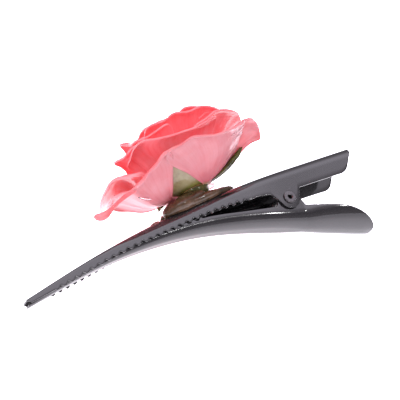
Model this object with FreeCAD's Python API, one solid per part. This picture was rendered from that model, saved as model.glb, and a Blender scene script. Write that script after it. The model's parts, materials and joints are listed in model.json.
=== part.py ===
"""Flower hair clip: a real rose in clear resin, glued on a curved two-leaf spring clip.

Everything is drawn in the clip's own frame, in millimetres: X runs from the tip of the jaws to the
end of the handles, Y across the leaves and Z up through the rose. The whole is then rolled about X
until the tip, the lower handle and the far petals stand on one plane, as the clip lies on a table.
"""
import FreeCAD, Part
import math
import os
from FreeCAD import Placement, Rotation, Vector

os.makedirs("parts", exist_ok=True)

# ---------------------------------------------------------------- driving dimensions
SHEET = 0.7              # pressed steel
CLEARANCE = 0.25         # between the nested flanges, each side
LENGTH = 132.0           # tip to end of the handles

# upper leaf, an upturned channel: stations of (x, value)
UPPER_CROWN = [(0, 1.0), (30, 11.2), (60, 19.3), (95, 25.6), (133, 30.2)]
UPPER_HALF = [(0, 2.3), (28, 3.5), (52, 4.8), (85, 6.6), (94, 7.0), (108, 7.0), (133, 7.5)]
UPPER_BEND = [(0, 1.0), (28, 1.4), (50, 3.0), (80, 3.7), (133, 4.2)]
UPPER_LIP = [(0, -0.9), (10, 1.8), (20, 4.6), (35, 9.0), (57, 13.5), (72, 16.3), (88, 17.6)]

# lower leaf, a gutter that nests in the upper one
LOWER_CROWN = [(0, -1.5), (15, 3.0), (30, 7.0), (48, 9.9), (65, 10.7), (85, 8.9), (105, 5.3), (118, 2.5), (132, -0.6)]
LOWER_FLARE = [(106, 6.05), (113, 7.6), (120, 8.5), (133, 8.7)]
LOWER_BEND = [(0, 0.9), (28, 1.5), (52, 2.6), (85, 4.4), (104, 5.4), (113, 7.0), (120, 7.9), (133, 8.1)]
LOWER_LIP = [(0, -0.3), (10, 3.0), (20, 5.95), (30, 8.5), (57, 13.9), (71, 15.0), (82, 14.2), (94, 13.3)]

TOOTH_PITCH = 2.9
TOOTH_HEIGHT = 0.9
TEETH_FROM = 10.0
UPPER_TEETH = 26
LOWER_TEETH = 20

# pivot
PIVOT_X = 101.1
PIVOT_Z = 15.3
EAR_RADIUS = 3.9
BARREL_RADIUS = 1.5
BARREL_BORE = 0.75
RIM_RADIUS = 2.3
RIM_THICK = 0.7
RUNNING_GAP = 0.06       # radial, lower leaf on the barrel

# torsion spring
WIRE = 1.0
COIL_RADIUS = 2.6
COIL_PITCH = 1.08
COIL_TURNS = 5
LEG_END_X = 115.5

# rose
ROSE_X = 71.0            # where the flower stands on the upper leaf
ROSE_TILT_BACK = 3.0     # degrees towards the near side
ROSE_TILT_HEEL = 2.0     # degrees from the leaf's normal towards the handles
PETAL = 0.65             # petal with its resin coat
SEPAL = 0.5
SEPAL_TURNS = (234.0, 345.0, 52.0, 100.0, 148.0)   # directions of the sepals, degrees
HIP_TOP = 5.0
LEAN = 0.17              # how far the flower's heart leans to the handles, per mm of height
TIP_DROOP = 5.0          # how far the outer petals hang over the jaws
REST_SIDE = math.radians(62.0)   # direction of the petals that the clip rests on
REST_DROOP = 5.2
REST_STRETCH = 2.0
SHORT_PETAL = "outer_petal_2"    # the one towards the handles is smaller than its neighbours

# stance on the table
ROLL = 49.4              # degrees about X
PITCH = -0.5             # degrees about Y, brings the tip and the handle to one level


# ---------------------------------------------------------------- curves and sections
def bends(stations):
    """Second derivatives at the stations of the natural cubic spline through them."""
    xs, ys = zip(*stations)
    last = len(xs) - 1
    ratio, rest = [0.0], [0.0]
    for i in range(1, last):
        before, after = xs[i] - xs[i - 1], xs[i + 1] - xs[i]
        turn = 6 * ((ys[i + 1] - ys[i]) / after - (ys[i] - ys[i - 1]) / before)
        pivot = 2 * (before + after) - before * ratio[-1]
        ratio.append(after / pivot)
        rest.append((turn - before * rest[-1]) / pivot)
    found = [0.0]
    for i in range(last - 1, 0, -1):
        found.append(rest[i] - ratio[i] * found[-1])
    return [0.0] + found[:0:-1] + [0.0]


def along(x, stations):
    """The value at x of the smooth line through (x, value) stations, straight beyond its ends."""
    found = bends(stations)
    k = max([i for i in range(len(stations) - 1) if stations[i][0] <= x] or [0])
    (x0, y0), (x1, y1) = stations[k], stations[k + 1]
    w = x1 - x0
    s = (x - x0) / w
    if s < 0 or s > 1:
        end, side = (0, -1) if s < 0 else (1, 1)
        slope = (y1 - y0) / w + side * w * (2 * found[k + end] + found[k + 1 - end]) / 6
        return (y1 if end else y0) + slope * (s - end) * w
    near, far = 1 - s, s
    return near * y0 + far * y1 + w * w / 6 * ((near**3 - near) * found[k] + (far**3 - far) * found[k + 1])


def step(s):
    """0 below 0, 1 above 1 and smooth between."""
    s = min(max(s, 0.0), 1.0)
    return s * s * (3 - 2 * s)


def lines(points):
    return [Part.LineSegment(a, b).toShape() for a, b in zip(points, points[1:])]


def arc(a, middle, b):
    return Part.Arc(a, middle, b).toShape()


def spline(points):
    curve = Part.BSplineCurve()
    curve.interpolate(points)
    return curve.toShape()


def corner(x, centre_y, centre_z, radius, from_angle):
    """Start, middle and end of a quarter turn in the plane of a section."""
    turns = [math.radians(from_angle + a) for a in (0, 45, 90)]
    return [Vector(x, centre_y + radius * math.cos(a), centre_z + radius * math.sin(a)) for a in turns]


def channel_section(x, half, crown, bend, lip, thickness):
    """A pressed channel cut across: flange, bend, web, bend, flange, and back along the inside."""
    up = 1 if lip > crown else -1
    y = half - bend
    z = crown + up * bend

    def mirrored(points):
        return [Vector(p.x, -p.y, p.z) for p in reversed(points)]

    def side(radius, reach):
        turn = corner(x, y, z, radius, -90 if up > 0 else 0)
        turn = turn if up > 0 else turn[::-1]
        foot = Vector(x, y + reach, lip)
        return turn, foot

    outer, outer_foot = side(bend, bend)
    inner, inner_foot = side(bend - thickness, bend - thickness)
    outer_left = mirrored(outer)
    inner_left = mirrored(inner)
    foot_left = Vector(x, -outer_foot.y, lip)
    inner_foot_left = Vector(x, -inner_foot.y, lip)
    edges = lines([foot_left, outer_left[0]]) + [arc(*outer_left)]
    edges += lines([outer_left[2], outer[0]]) + [arc(*outer)]
    edges += lines([outer[2], outer_foot, inner_foot, inner[2]]) + [arc(inner[2], inner[1], inner[0])]
    edges += lines([inner[0], inner_left[2]]) + [arc(inner_left[2], inner_left[1], inner_left[0])]
    edges += lines([inner_left[0], inner_foot_left, foot_left])
    return Part.Wire(edges)


def side_prism(edges):
    """A block across the whole clip whose side view is the closed outline."""
    width = 40.0
    outline = Part.Face(Part.Wire(edges))
    block = outline.extrude(Vector(0, width, 0))
    block.translate(Vector(0, -width / 2, 0))
    return block


def flat(x, z):
    return Vector(x, 0, z)


def toothed(lip, lead, teeth, tail):
    """A flange's edge: plain from the tip through lead, then round teeth, then plain through tail."""
    half = TOOTH_PITCH / 2

    def on_lip(x, swing=0.0):
        return flat(x, along(x, lip) + swing)

    edges = [spline([on_lip(x) for x in lead + [TEETH_FROM]])]
    for n in range(2 * teeth):
        x = TEETH_FROM + n * half
        swing = TOOTH_HEIGHT / 2 * (1 if n % 2 else -1)
        edges.append(arc(on_lip(x), on_lip(x + half / 2, swing), on_lip(x + half)))
    edges.append(spline([on_lip(x) for x in [TEETH_FROM + teeth * TOOTH_PITCH] + tail]))
    return edges, on_lip(lead[0]), on_lip(tail[-1])


# ---------------------------------------------------------------- the two leaves
STATIONS = [-1 + n * (LENGTH + 4) / 19 for n in range(20)]


def upper_half(x):
    return along(x, UPPER_HALF)


def lower_half(x):
    nested = upper_half(x) - SHEET - CLEARANCE
    return nested if x <= LOWER_FLARE[0][0] else along(x, LOWER_FLARE)


def upper_leaf():
    depth = 19.0
    sections = []
    for x in STATIONS:
        crown = along(x, UPPER_CROWN)
        sections.append(channel_section(x, upper_half(x), crown, along(x, UPPER_BEND), crown - depth, SHEET))
    blank = Part.makeLoft(sections, True, False)

    edge, edge_start, edge_end = toothed(UPPER_LIP, [1.0, 5.0], UPPER_TEETH, [89.5, 92.0])
    window_end = flat(95.0, 17.5)
    tilt = [math.radians(a) for a in (200, 270, 338)]
    ear = [flat(PIVOT_X + EAR_RADIUS * math.cos(a), PIVOT_Z + EAR_RADIUS * math.sin(a)) for a in tilt]
    handle_start = flat(106.3, 18.3)
    handle_corner = [flat(123.6, 20.2), flat(126.4, 20.9), flat(128.2, 22.8)]
    handle_end = [flat(131.3, 27.6), flat(LENGTH, 31.0), flat(LENGTH, 40.0)]
    tip = [flat(-0.4, 40.0), flat(-0.4, 0.6), edge_start]
    outline = edge + lines([edge_end, window_end, ear[0]]) + [arc(*ear)]
    outline += lines([ear[-1], handle_start, handle_corner[0]]) + [arc(*handle_corner)]
    outline += lines([handle_corner[-1]] + handle_end + tip)
    return blank.common(side_prism(outline)).cut(pivot_hole(BARREL_RADIUS))


def lower_leaf():
    depth = 20.0
    sections = []
    for x in STATIONS:
        crown = along(x, LOWER_CROWN)
        sections.append(channel_section(x, lower_half(x), crown, along(x, LOWER_BEND), crown + depth, SHEET))
    blank = Part.makeLoft(sections, True, False)

    edge, edge_start, edge_end = toothed(LOWER_LIP, [0.6, 5.0], LOWER_TEETH, [74.0, 84.0, 93.0])
    tilt = [math.radians(a) for a in (155, 90, 22)]
    ear = [flat(PIVOT_X + EAR_RADIUS * math.cos(a), PIVOT_Z + EAR_RADIUS * math.sin(a)) for a in tilt]
    ear_foot = [flat(96.0, 13.2), flat(106.6, 11.9)]
    scoop = [flat(119.0, 8.6), flat(126.9, 4.2), flat(LENGTH - 0.4, -0.9)]
    below = [flat(LENGTH - 0.4, -30.0), flat(0.0, -30.0), flat(0.0, -0.9), edge_start]
    outline = edge + lines([edge_end, ear_foot[0], ear[0]]) + [arc(*ear)]
    outline += lines([ear[-1], ear_foot[1], scoop[0]]) + [arc(*scoop)]
    outline += lines([scoop[-1]] + below)
    return blank.common(side_prism(outline)).cut(pivot_hole(BARREL_RADIUS + RUNNING_GAP))


def pivot_hole(radius):
    return Part.makeCylinder(radius, 40.0, Vector(PIVOT_X, -20.0, PIVOT_Z), Vector(0, 1, 0))


# ---------------------------------------------------------------- pivot rivet and spring
def pivot_rivet():
    """A hollow rivet, rolled over into a ring on each ear."""
    ear = upper_half(PIVOT_X)
    top = ear + RIM_THICK
    roll = RIM_THICK / 2
    edges = lines([Vector(BARREL_BORE, -top + 0.3, 0), Vector(BARREL_BORE, top - 0.3, 0)])
    for side in (1, -1):
        rim = [
            Vector(BARREL_BORE, side * (top - 0.3), 0),
            Vector(BARREL_BORE + 0.3, side * top, 0),
            Vector(RIM_RADIUS - roll, side * top, 0),
        ]
        edge = Vector(RIM_RADIUS, side * (top - roll), 0)
        under = Vector(RIM_RADIUS - roll, side * ear, 0)
        edges += lines(rim) + [arc(rim[-1], edge, under)]
        edges += lines([under, Vector(BARREL_RADIUS, side * ear, 0)])
    edges += lines([Vector(BARREL_RADIUS, -ear, 0), Vector(BARREL_RADIUS, ear, 0)])
    section = Part.Face(Part.Wire(Part.__sortEdges__(edges)))
    rivet = section.revolve(Vector(0, 0, 0), Vector(0, 1, 0), 360)
    rivet.translate(Vector(PIVOT_X, 0, PIVOT_Z))
    return rivet


def tangent_angle(target_x, target_z, side):
    """Where on the coil a straight leg to the target leaves it: side is 1 above, -1 below."""
    dx, dz = target_x - PIVOT_X, target_z - PIVOT_Z
    return math.atan2(dz, dx) + side * math.acos(COIL_RADIUS / math.hypot(dx, dz))


def torsion_spring():
    """A coil round the rivet's barrel, with a leg under each handle."""
    reach_y = 2.9
    up_z = along(LEG_END_X, UPPER_CROWN) - SHEET - WIRE / 2 - 0.15
    gutter = along(LEG_END_X, LOWER_BEND) - SHEET
    hollow = along(LEG_END_X, LOWER_CROWN) + SHEET + gutter - math.sqrt(gutter**2 - reach_y**2)
    down_z = hollow + WIRE / 2 + 0.35
    first = tangent_angle(LEG_END_X, up_z, 1)
    last = tangent_angle(LEG_END_X, down_z, -1) + 2 * math.pi * (COIL_TURNS + 1)
    steps = 16 * COIL_TURNS
    rise = COIL_PITCH / (2 * math.pi)
    start_y = -rise * (last - first) / 2

    def on_coil(angle):
        y = start_y + rise * (angle - first)
        return Vector(PIVOT_X + COIL_RADIUS * math.cos(angle), y, PIVOT_Z + COIL_RADIUS * math.sin(angle))

    points = [on_coil(first + (last - first) * n / steps) for n in range(steps + 1)]
    coil = Part.BSplineCurve()
    up_leg = Vector(LEG_END_X, start_y, up_z)
    down_leg = Vector(LEG_END_X, -start_y, down_z)
    coil.interpolate(Points=points, InitialTangent=(points[0] - up_leg).normalize() * 3,
                     FinalTangent=(down_leg - points[-1]).normalize() * 3)
    path = Part.Wire(lines([up_leg, points[0]]) + [coil.toShape()] + lines([points[-1], down_leg]))
    profile = Part.Wire(Part.makeCircle(WIRE / 2, up_leg, points[0] - up_leg))
    return path.makePipeShell([profile], True, False)


# ---------------------------------------------------------------- the rose
# Each ring of petals lies on its own cup: stations of (radius, height) from the base to the rim.
CUPS = {
    "sepal": [(6.3, 3.6), (11.5, 4.4), (17.0, 6.4), (22.5, 10.0)],
    "outer": [(5.2, 5.05), (11.5, 7.6), (19.5, 11.2), (27.0, 14.2), (31.5, 13.4)],
    "second": [(4.3, 5.05), (9.4, 10.6), (16.0, 16.0), (21.6, 20.4), (25.6, 21.0)],
    "third": [(3.4, 5.05), (7.6, 13.4), (12.4, 20.4), (16.6, 25.6), (19.8, 26.6)],
    "fourth": [(2.5, 5.05), (5.6, 15.0), (8.6, 22.6), (11.4, 28.4), (13.8, 29.8)],
    "heart": [(1.6, 5.05), (3.4, 16.0), (4.8, 24.0), (5.8, 29.6), (6.6, 31.2)],
}
# ring: number of petals, first petal's direction in degrees, half-width in degrees, spiral step in mm
RINGS = {
    "outer": (5, 271.0, 45.0, 1.5),
    "second": (5, 236.0, 50.0, 1.3),
    "third": (5, 262.0, 54.0, 1.2),
    "fourth": (4, 228.0, 66.0, 1.1),
    "heart": (3, 200.0, 88.0, 1.0),
}
ACROSS = 9
UPWARD = 7


def on_cup(cup, t):
    """Point and outward normal of a cup's section at t, from 0 at its base to 1 at its rim."""
    stations = CUPS[cup]
    last = len(stations) - 1

    def at(s):
        return [along(s * last, [(n, p[k]) for n, p in enumerate(stations)]) for k in (0, 1)]

    r, h = at(t)
    nudge = 0.01
    (r0, h0), (r1, h1) = at(max(t - nudge, 0)), at(min(t + nudge, 1))
    size = math.hypot(r1 - r0, h1 - h0)
    return r, h, (h1 - h0) / size, -(r1 - r0) / size


def settle(p):
    """The flower's own lean and spread, the same smooth bend for every petal."""
    low = 1 - step((p.z - 6) / 13)
    tip = step((-p.x - 3) / 15)
    far_reach = p.x * math.cos(REST_SIDE) + p.y * math.sin(REST_SIDE)
    far = step((far_reach - 12) / 13)
    lift = -TIP_DROOP * tip * low - REST_DROOP * far * (1 - step((p.z - 8) / 14))
    lean = LEAN * max(p.z - HIP_TOP, 0)
    stretch = REST_STRETCH * far
    return Vector(
        p.x + lean - 2.0 * tip * low + stretch * math.cos(REST_SIDE),
        p.y + stretch * math.sin(REST_SIDE),
        p.z + lift,
    )


def blade(cup, turn, half, spiral, thickness, rim, waist, pinch=0.0):
    """A petal or sepal as a closed solid on its cup. rim(u) trims its length across its width."""

    def point(u, t, side):
        level = t * rim(u)
        r, h, nr, nh = on_cup(cup, level)
        spread = waist + (1 - waist) * step((level - 0.1) / 0.4)
        spread -= pinch * step((level - 0.6) / 0.4)
        swing = half * u * spread
        away = spiral * swing / 72.0 * step(level / 0.35) + side * thickness / 2
        a = math.radians(turn + swing)
        r += nr * away
        return settle(Vector(r * math.cos(a), r * math.sin(a), h + nh * away))

    grids = []
    for side in (1, -1):
        rows = []
        for j in range(UPWARD):
            level = j / (UPWARD - 1)
            rows.append([point(2.0 * i / (ACROSS - 1) - 1, level, side) for i in range(ACROSS)])
        surface = Part.BSplineSurface()
        surface.interpolate(rows)
        grids.append(surface)

    return closed(grids)


def border(surface, which):
    """One edge of a grid surface as a shape."""
    u0, u1, v0, v1 = surface.bounds()
    curves = {
        "base": lambda: surface.uIso(u0),
        "rim": lambda: surface.uIso(u1),
        "left": lambda: surface.vIso(v0),
        "right": lambda: surface.vIso(v1),
    }
    return curves[which]().toShape()


def closed(grids):
    """The solid between two grid surfaces, with straight walls along their four edges."""
    faces = [grid.toShape() for grid in grids]
    for which in ("base", "rim", "left", "right"):
        faces.append(Part.makeRuledSurface(border(grids[0], which), border(grids[1], which)))
    shell = Part.Shell(faces)
    shell.sewShape()
    solid = Part.Solid(shell)
    if solid.Volume < 0:
        solid.reverse()
    return solid


def rounded(depth, point=0.0, reach=1.0):
    """A rim that falls away to the sides by depth, with a small point in the middle."""
    return lambda u: reach * (1 - depth * abs(u) ** 2.4 - point * (1 - math.exp(-((u / 0.25) ** 2))))


def ribbon(middles, widths, across, thickness):
    """A thin closed strip through middles, its width laid along across and its faces out of plane."""
    out = Vector(0, 1, 0)
    grids = []
    for side in (1, -1):
        surface = Part.BSplineSurface()
        rows = []
        for p, w, a in zip(middles, widths, across):
            rows.append([p + a * (w * k / 2) + out * (side * thickness / 2 + 0.5 * k * k) for k in (-1, -0.4, 0.4, 1)])
        surface.interpolate(rows)
        grids.append(surface)
    return closed(grids)


def rose_hip():
    """The green cup under the petals, flat on top where they are set."""
    side = spline([Vector(3.6, 0, 1.6), Vector(5.3, 0, 2.8), Vector(5.9, 0, HIP_TOP)])
    edges = [side] + lines([Vector(5.9, 0, HIP_TOP), Vector(0, 0, HIP_TOP), Vector(0, 0, 1.6), Vector(3.6, 0, 1.6)])
    return Part.Face(Part.Wire(edges)).revolve(Vector(0, 0, 0), Vector(0, 0, 1), 360)


def rose_place():
    """Placement that stands the rose's own frame on the upper leaf."""
    ahead, behind = along(ROSE_X + 1, UPPER_CROWN), along(ROSE_X - 1, UPPER_CROWN)
    slope = math.degrees(math.atan2(ahead - behind, 2))
    turn = Rotation(Vector(0, 1, 0), ROSE_TILT_HEEL - slope).multiply(Rotation(Vector(1, 0, 0), ROSE_TILT_BACK))
    return Placement(Vector(ROSE_X, 0, along(ROSE_X, UPPER_CROWN)), turn)


def ellipsoid(x, z, along_x, along_y, along_z, slope):
    ball = Part.makeSphere(1.0)
    stretch = FreeCAD.Matrix()
    stretch.scale(along_x, along_y, along_z)
    ball = ball.transformGeometry(stretch)
    ball.Placement = Placement(Vector(x, 0, z), Rotation(Vector(0, 1, 0), -slope))
    return ball


def solid_upper():
    """The upper leaf's outside as a filled bar, for trimming what is glued on it."""
    sections = []
    for x in STATIONS[4:15]:
        crown, half, bend = along(x, UPPER_CROWN), upper_half(x), along(x, UPPER_BEND)
        right = corner(x, half - bend, crown - bend, bend, 0)
        left = corner(x, bend - half, crown - bend, bend, 90)
        low = crown - 12.0
        edges = lines([Vector(x, half, low), right[0]]) + [arc(*right)] + lines([right[2], left[0]])
        edges += [arc(*left)] + lines([left[2], Vector(x, -half, low), Vector(x, half, low)])
        sections.append(Part.Wire(edges))
    return Part.makeLoft(sections, True, False)


def resin_run():
    """A thin bead of resin that ran from the flower's back down to the pad."""
    line = [Vector(85.6, 1, 26.4), Vector(86.8, 1, 30.5), Vector(90.4, 1, 35.2), Vector(95.4, 1, 40.6)]
    path = Part.Wire([spline(line)])
    bead = Part.Wire(Part.makeCircle(0.6, line[0], line[1] - line[0]))
    return path.makePipeShell([bead], True, False)


def stray_petal():
    """A narrow twisted petal that hangs from the flower's edge over the jaws."""
    middles = [Vector(39.6, -8, 25.2), Vector(36.4, -8.3, 23.4), Vector(32.6, -8, 21.4), Vector(28.8, -7.6, 21.4)]
    widths = [1.6, 1.8, 2.8, 3.2]
    across = [Vector(-0.5, 0, 0.87), Vector(-0.5, 0, 0.87), Vector(-0.35, 0, 0.94), Vector(0.1, 0, 0.99)]
    return ribbon(middles, widths, across, PETAL)


# ---------------------------------------------------------------- assembly
def build():
    parts = {
        "lower_leaf": lower_leaf(),
        "upper_leaf": upper_leaf(),
        "pivot_rivet": pivot_rivet(),
        "torsion_spring": torsion_spring(),
    }
    place = rose_place()
    flower = {"rose_hip": rose_hip()}
    for name, (count, first, half, spiral) in RINGS.items():
        for n in range(count):
            turn = first + n * 360.0 / count
            depth = 0.16 + 0.05 * math.sin(2.1 * n + len(name))
            point = 0.05 if name in ("second", "third") else 0.0
            node = "%s_petal_%d" % (name, n + 1)
            rim = rounded(depth, point, 0.87 if node == SHORT_PETAL else 1.0)
            flower[node] = blade(name, turn, half, spiral, PETAL, rim, 0.55)
    for n, turn in enumerate(SEPAL_TURNS):
        flower["sepal_%d" % (n + 1)] = blade("sepal", turn, 22.0, 0.0, SEPAL, rounded(0.1), 1.0, 0.8)
    for name, shape in flower.items():
        shape.Placement = place.multiply(shape.Placement)
        parts[name] = shape

    bar = solid_upper()
    slope = 11.0
    pad = ellipsoid(ROSE_X - 0.5, along(ROSE_X, UPPER_CROWN) + 0.4, 15.5, 6.4, 2.6, slope)
    parts["resin_pad"] = pad.cut(bar).cut(parts["rose_hip"])
    drip = ellipsoid(52.5, along(52.5, UPPER_CROWN) + 0.1, 2.3, 1.8, 0.9, 15.0)
    parts["resin_drip"] = drip.cut(bar)
    parts["resin_run"] = resin_run()
    parts["stray_petal"] = stray_petal()
    return parts


def rest_on_table(parts):
    """Rolls the clip onto its three points and puts the origin under the middle of its box."""
    stance = Rotation(Vector(0, 1, 0), PITCH).multiply(Rotation(Vector(1, 0, 0), -ROLL))
    box = FreeCAD.BoundBox()
    for shape in parts.values():
        shape.Placement = Placement(Vector(0, 0, 0), stance).multiply(shape.Placement)
        for point in shape.tessellate(0.05)[0]:
            box.add(point)
    shift = Vector(-box.Center.x, -box.Center.y, -box.ZMin)
    for shape in parts.values():
        shape.translate(shift)
    return stance, shift


PARTS = build()
STANCE, SHIFT = rest_on_table(PARTS)
for node, shape in PARTS.items():
    if not shape.isValid() or len(shape.Solids) != 1:
        print("check", node, shape.isValid(), len(shape.Solids))
    shape.exportStep("parts/%s.step" % node)
pivot = STANCE.multVec(Vector(PIVOT_X, 0, PIVOT_Z)) + SHIFT
axis = STANCE.multVec(Vector(0, 1, 0))
print("pivot", pivot, "axis", axis, "shift", SHIFT)
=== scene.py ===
import json
import math

import bmesh
import bpy
import numpy as np
from mathutils import Matrix, Vector


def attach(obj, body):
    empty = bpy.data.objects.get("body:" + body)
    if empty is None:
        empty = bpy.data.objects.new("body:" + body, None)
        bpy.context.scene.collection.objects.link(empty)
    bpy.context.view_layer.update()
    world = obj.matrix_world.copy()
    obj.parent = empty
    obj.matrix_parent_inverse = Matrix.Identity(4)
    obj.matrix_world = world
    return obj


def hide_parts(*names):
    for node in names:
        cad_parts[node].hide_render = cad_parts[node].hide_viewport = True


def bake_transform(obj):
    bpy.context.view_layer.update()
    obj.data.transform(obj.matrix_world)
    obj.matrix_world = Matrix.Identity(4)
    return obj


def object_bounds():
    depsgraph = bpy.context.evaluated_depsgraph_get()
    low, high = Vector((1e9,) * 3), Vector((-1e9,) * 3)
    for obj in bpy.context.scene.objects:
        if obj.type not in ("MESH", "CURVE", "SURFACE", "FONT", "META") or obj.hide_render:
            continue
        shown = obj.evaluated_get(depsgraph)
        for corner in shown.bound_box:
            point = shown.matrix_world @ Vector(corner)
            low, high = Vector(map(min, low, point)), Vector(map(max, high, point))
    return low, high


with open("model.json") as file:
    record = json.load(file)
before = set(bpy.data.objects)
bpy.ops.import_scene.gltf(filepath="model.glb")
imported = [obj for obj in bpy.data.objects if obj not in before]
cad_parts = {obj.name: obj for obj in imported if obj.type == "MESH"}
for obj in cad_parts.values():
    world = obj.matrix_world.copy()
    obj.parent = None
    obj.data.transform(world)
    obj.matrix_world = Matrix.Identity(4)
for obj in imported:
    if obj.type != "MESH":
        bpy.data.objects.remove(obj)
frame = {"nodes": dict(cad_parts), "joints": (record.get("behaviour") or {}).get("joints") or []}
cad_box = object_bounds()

# Lengths below are millimetres in the clip's own frame: X from the tip of the jaws to the end of
# the handles, Y across the leaves, Z up through the rose. to_row() takes them to the row frame.

# ---------------------------------------------------------------- the clip's frame
MM = 0.001
ROLL, PITCH = 49.4, -0.5             # how the clip lies on the table, degrees
PIVOT_X, PIVOT_Z = 101.1, 15.3
STANCE = Matrix.Rotation(math.radians(PITCH), 3, "Y") @ Matrix.Rotation(math.radians(-ROLL), 3, "X")
JOINT = frame["joints"][0]
SHIFT = Vector(JOINT["pos_m"]) - STANCE @ Vector((PIVOT_X, 0, PIVOT_Z)) * MM
TURN = np.array(STANCE)


def to_row(points):
    """Clip millimetres, any array of points, to metres in the row frame."""
    return np.asarray(points, float) @ TURN.T * MM + np.array(SHIFT)


def way(direction):
    return STANCE @ Vector(direction)


# ---------------------------------------------------------------- curves
def curve(stations):
    """The natural cubic line through (x, value) stations as a function, straight beyond its ends."""
    xs, ys = np.array(stations, float).T
    last = len(xs) - 1
    w, rise = np.diff(xs), np.diff(ys)
    system, right = np.eye(last + 1), np.zeros(last + 1)
    for i in range(1, last):
        system[i, i - 1 : i + 2] = w[i - 1], 2 * (w[i - 1] + w[i]), w[i]
        right[i] = 6 * (rise[i] / w[i] - rise[i - 1] / w[i - 1])
    m = np.linalg.solve(system, right)

    def value(x):
        x = np.asarray(x, float)
        inside = np.clip(x, xs[0], xs[-1])
        k = np.clip(np.searchsorted(xs, inside, side="right") - 1, 0, last - 1)
        s = (inside - xs[k]) / w[k]
        r = 1 - s
        y = r * ys[k] + s * ys[k + 1] + w[k] ** 2 / 6 * ((r**3 - r) * m[k] + (s**3 - s) * m[k + 1])
        slope = rise[k] / w[k] + w[k] / 6 * ((1 - 3 * r**2) * m[k] + (3 * s**2 - 1) * m[k + 1])
        return y + slope * (x - inside)

    return value


def step(s):
    s = np.clip(s, 0.0, 1.0)
    return s * s * (3 - 2 * s)


def line(a, b):
    return lambda x: a[1] + (b[1] - a[1]) * (x - a[0]) / (b[0] - a[0])


def round_edge(a, middle, b):
    """The circle through three (x, z) points, as z at x."""
    (ax, az), (mx, mz), (bx, bz) = a, middle, b
    system = 2 * np.array([[mx - ax, mz - az], [bx - ax, bz - az]])
    right = np.array([mx**2 - ax**2 + mz**2 - az**2, bx**2 - ax**2 + bz**2 - az**2])
    cx, cz = np.linalg.solve(system, right)
    radius = math.hypot(ax - cx, az - cz)
    side = 1 if mz > cz else -1
    return lambda x: cz + side * math.sqrt(max(radius**2 - (x - cx) ** 2, 0))


# ---------------------------------------------------------------- mesh helpers
def finish_mesh(name, verts, faces, material, body, replaced=(), uv=None, values=None, sharp=None):
    """An object from row-frame vertices, with its attributes, material and body."""
    mesh = bpy.data.meshes.new(name)
    mesh.from_pydata([tuple(v) for v in verts], [], faces)
    for key, numbers in (values or {}).items():
        mesh.attributes.new(key, "FLOAT", "POINT").data.foreach_set("value", np.asarray(numbers, np.float32))
    if uv is not None:
        layer = mesh.uv_layers.new(name="petal")
        spots = np.asarray(uv, np.float32)[[v for f in faces for v in f]]
        layer.data.foreach_set("uv", spots.ravel())
    shape = bmesh.new()
    shape.from_mesh(mesh)
    bmesh.ops.remove_doubles(shape, verts=shape.verts, dist=1e-7)
    bmesh.ops.dissolve_degenerate(shape, edges=shape.edges, dist=1e-8)
    bmesh.ops.recalc_face_normals(shape, faces=shape.faces)
    shape.to_mesh(mesh)
    shape.free()
    mesh.shade_smooth()
    if sharp:
        mesh.set_sharp_from_angle(angle=math.radians(sharp))
    piece = bpy.data.objects.new(name, mesh)
    bpy.context.scene.collection.objects.link(piece)
    mesh.materials.append(material)
    if body:
        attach(piece, body)
    if replaced:
        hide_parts(*replaced)
    return piece


def grid_faces(rows, columns, closed=False):
    wide = columns if closed else columns - 1
    faces = []
    for r in range(rows - 1):
        for c in range(wide):
            d = (c + 1) % columns
            faces.append((r * columns + c, r * columns + d, (r + 1) * columns + d, (r + 1) * columns + c))
    return faces


# ---------------------------------------------------------------- materials
def nodes_of(name):
    material = bpy.data.materials.new(name)
    material.use_nodes = True
    tree = material.node_tree
    return material, tree, tree.nodes["Principled BSDF"]


def add(tree, kind, inputs=None, **settings):
    node = tree.nodes.new(kind)
    for key, value in settings.items():
        setattr(node, key, value)
    for key, value in (inputs or {}).items():
        if isinstance(value, bpy.types.NodeSocket):
            tree.links.new(value, node.inputs[key])
        else:
            node.inputs[key].default_value = value
    return node


def noise(tree, where, scale, detail=4.0, rough=0.5, distortion=0.0):
    return add(tree, "ShaderNodeTexNoise", {
        "Vector": where, "Scale": scale, "Detail": detail, "Roughness": rough, "Distortion": distortion,
    }).outputs["Fac"]


def ramp(tree, fac, stops):
    node = add(tree, "ShaderNodeValToRGB", {"Fac": fac})
    while len(node.color_ramp.elements) < len(stops):
        node.color_ramp.elements.new(0.5)
    for element, (at, colour) in zip(node.color_ramp.elements, stops):
        element.position = at
        element.color = (*colour, 1)
    return node.outputs["Color"]


def grey(value):
    return (value, value, value)


def blend_colour(tree, fac, a, b):
    node = add(tree, "ShaderNodeMix", data_type="RGBA", blend_type="MIX")
    for index, value in ((0, fac), (6, a), (7, b)):
        if isinstance(value, bpy.types.NodeSocket):
            tree.links.new(value, node.inputs[index])
        else:
            node.inputs[index].default_value = value if index == 0 else (*value, 1)
    return node.outputs[2]


def bump(tree, height, distance, strength=1.0):
    inputs = {"Height": height, "Distance": distance, "Strength": strength}
    return add(tree, "ShaderNodeBump", inputs).outputs["Normal"]


def math_node(tree, operation, *values):
    node = add(tree, "ShaderNodeMath", operation=operation)
    for index, value in enumerate(values):
        if isinstance(value, bpy.types.NodeSocket):
            tree.links.new(value, node.inputs[index])
        else:
            node.inputs[index].default_value = value
    return node.outputs[0]


def times(tree, value, factor):
    return math_node(tree, "MULTIPLY", value, factor)


def plug(tree, shader, **inputs):
    for key, value in inputs.items():
        socket = shader.inputs[key.replace("_", " ")]
        if isinstance(value, bpy.types.NodeSocket):
            tree.links.new(value, socket)
        else:
            socket.default_value = value


def object_place(tree):
    return add(tree, "ShaderNodeTexCoord").outputs["Object"]


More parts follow.
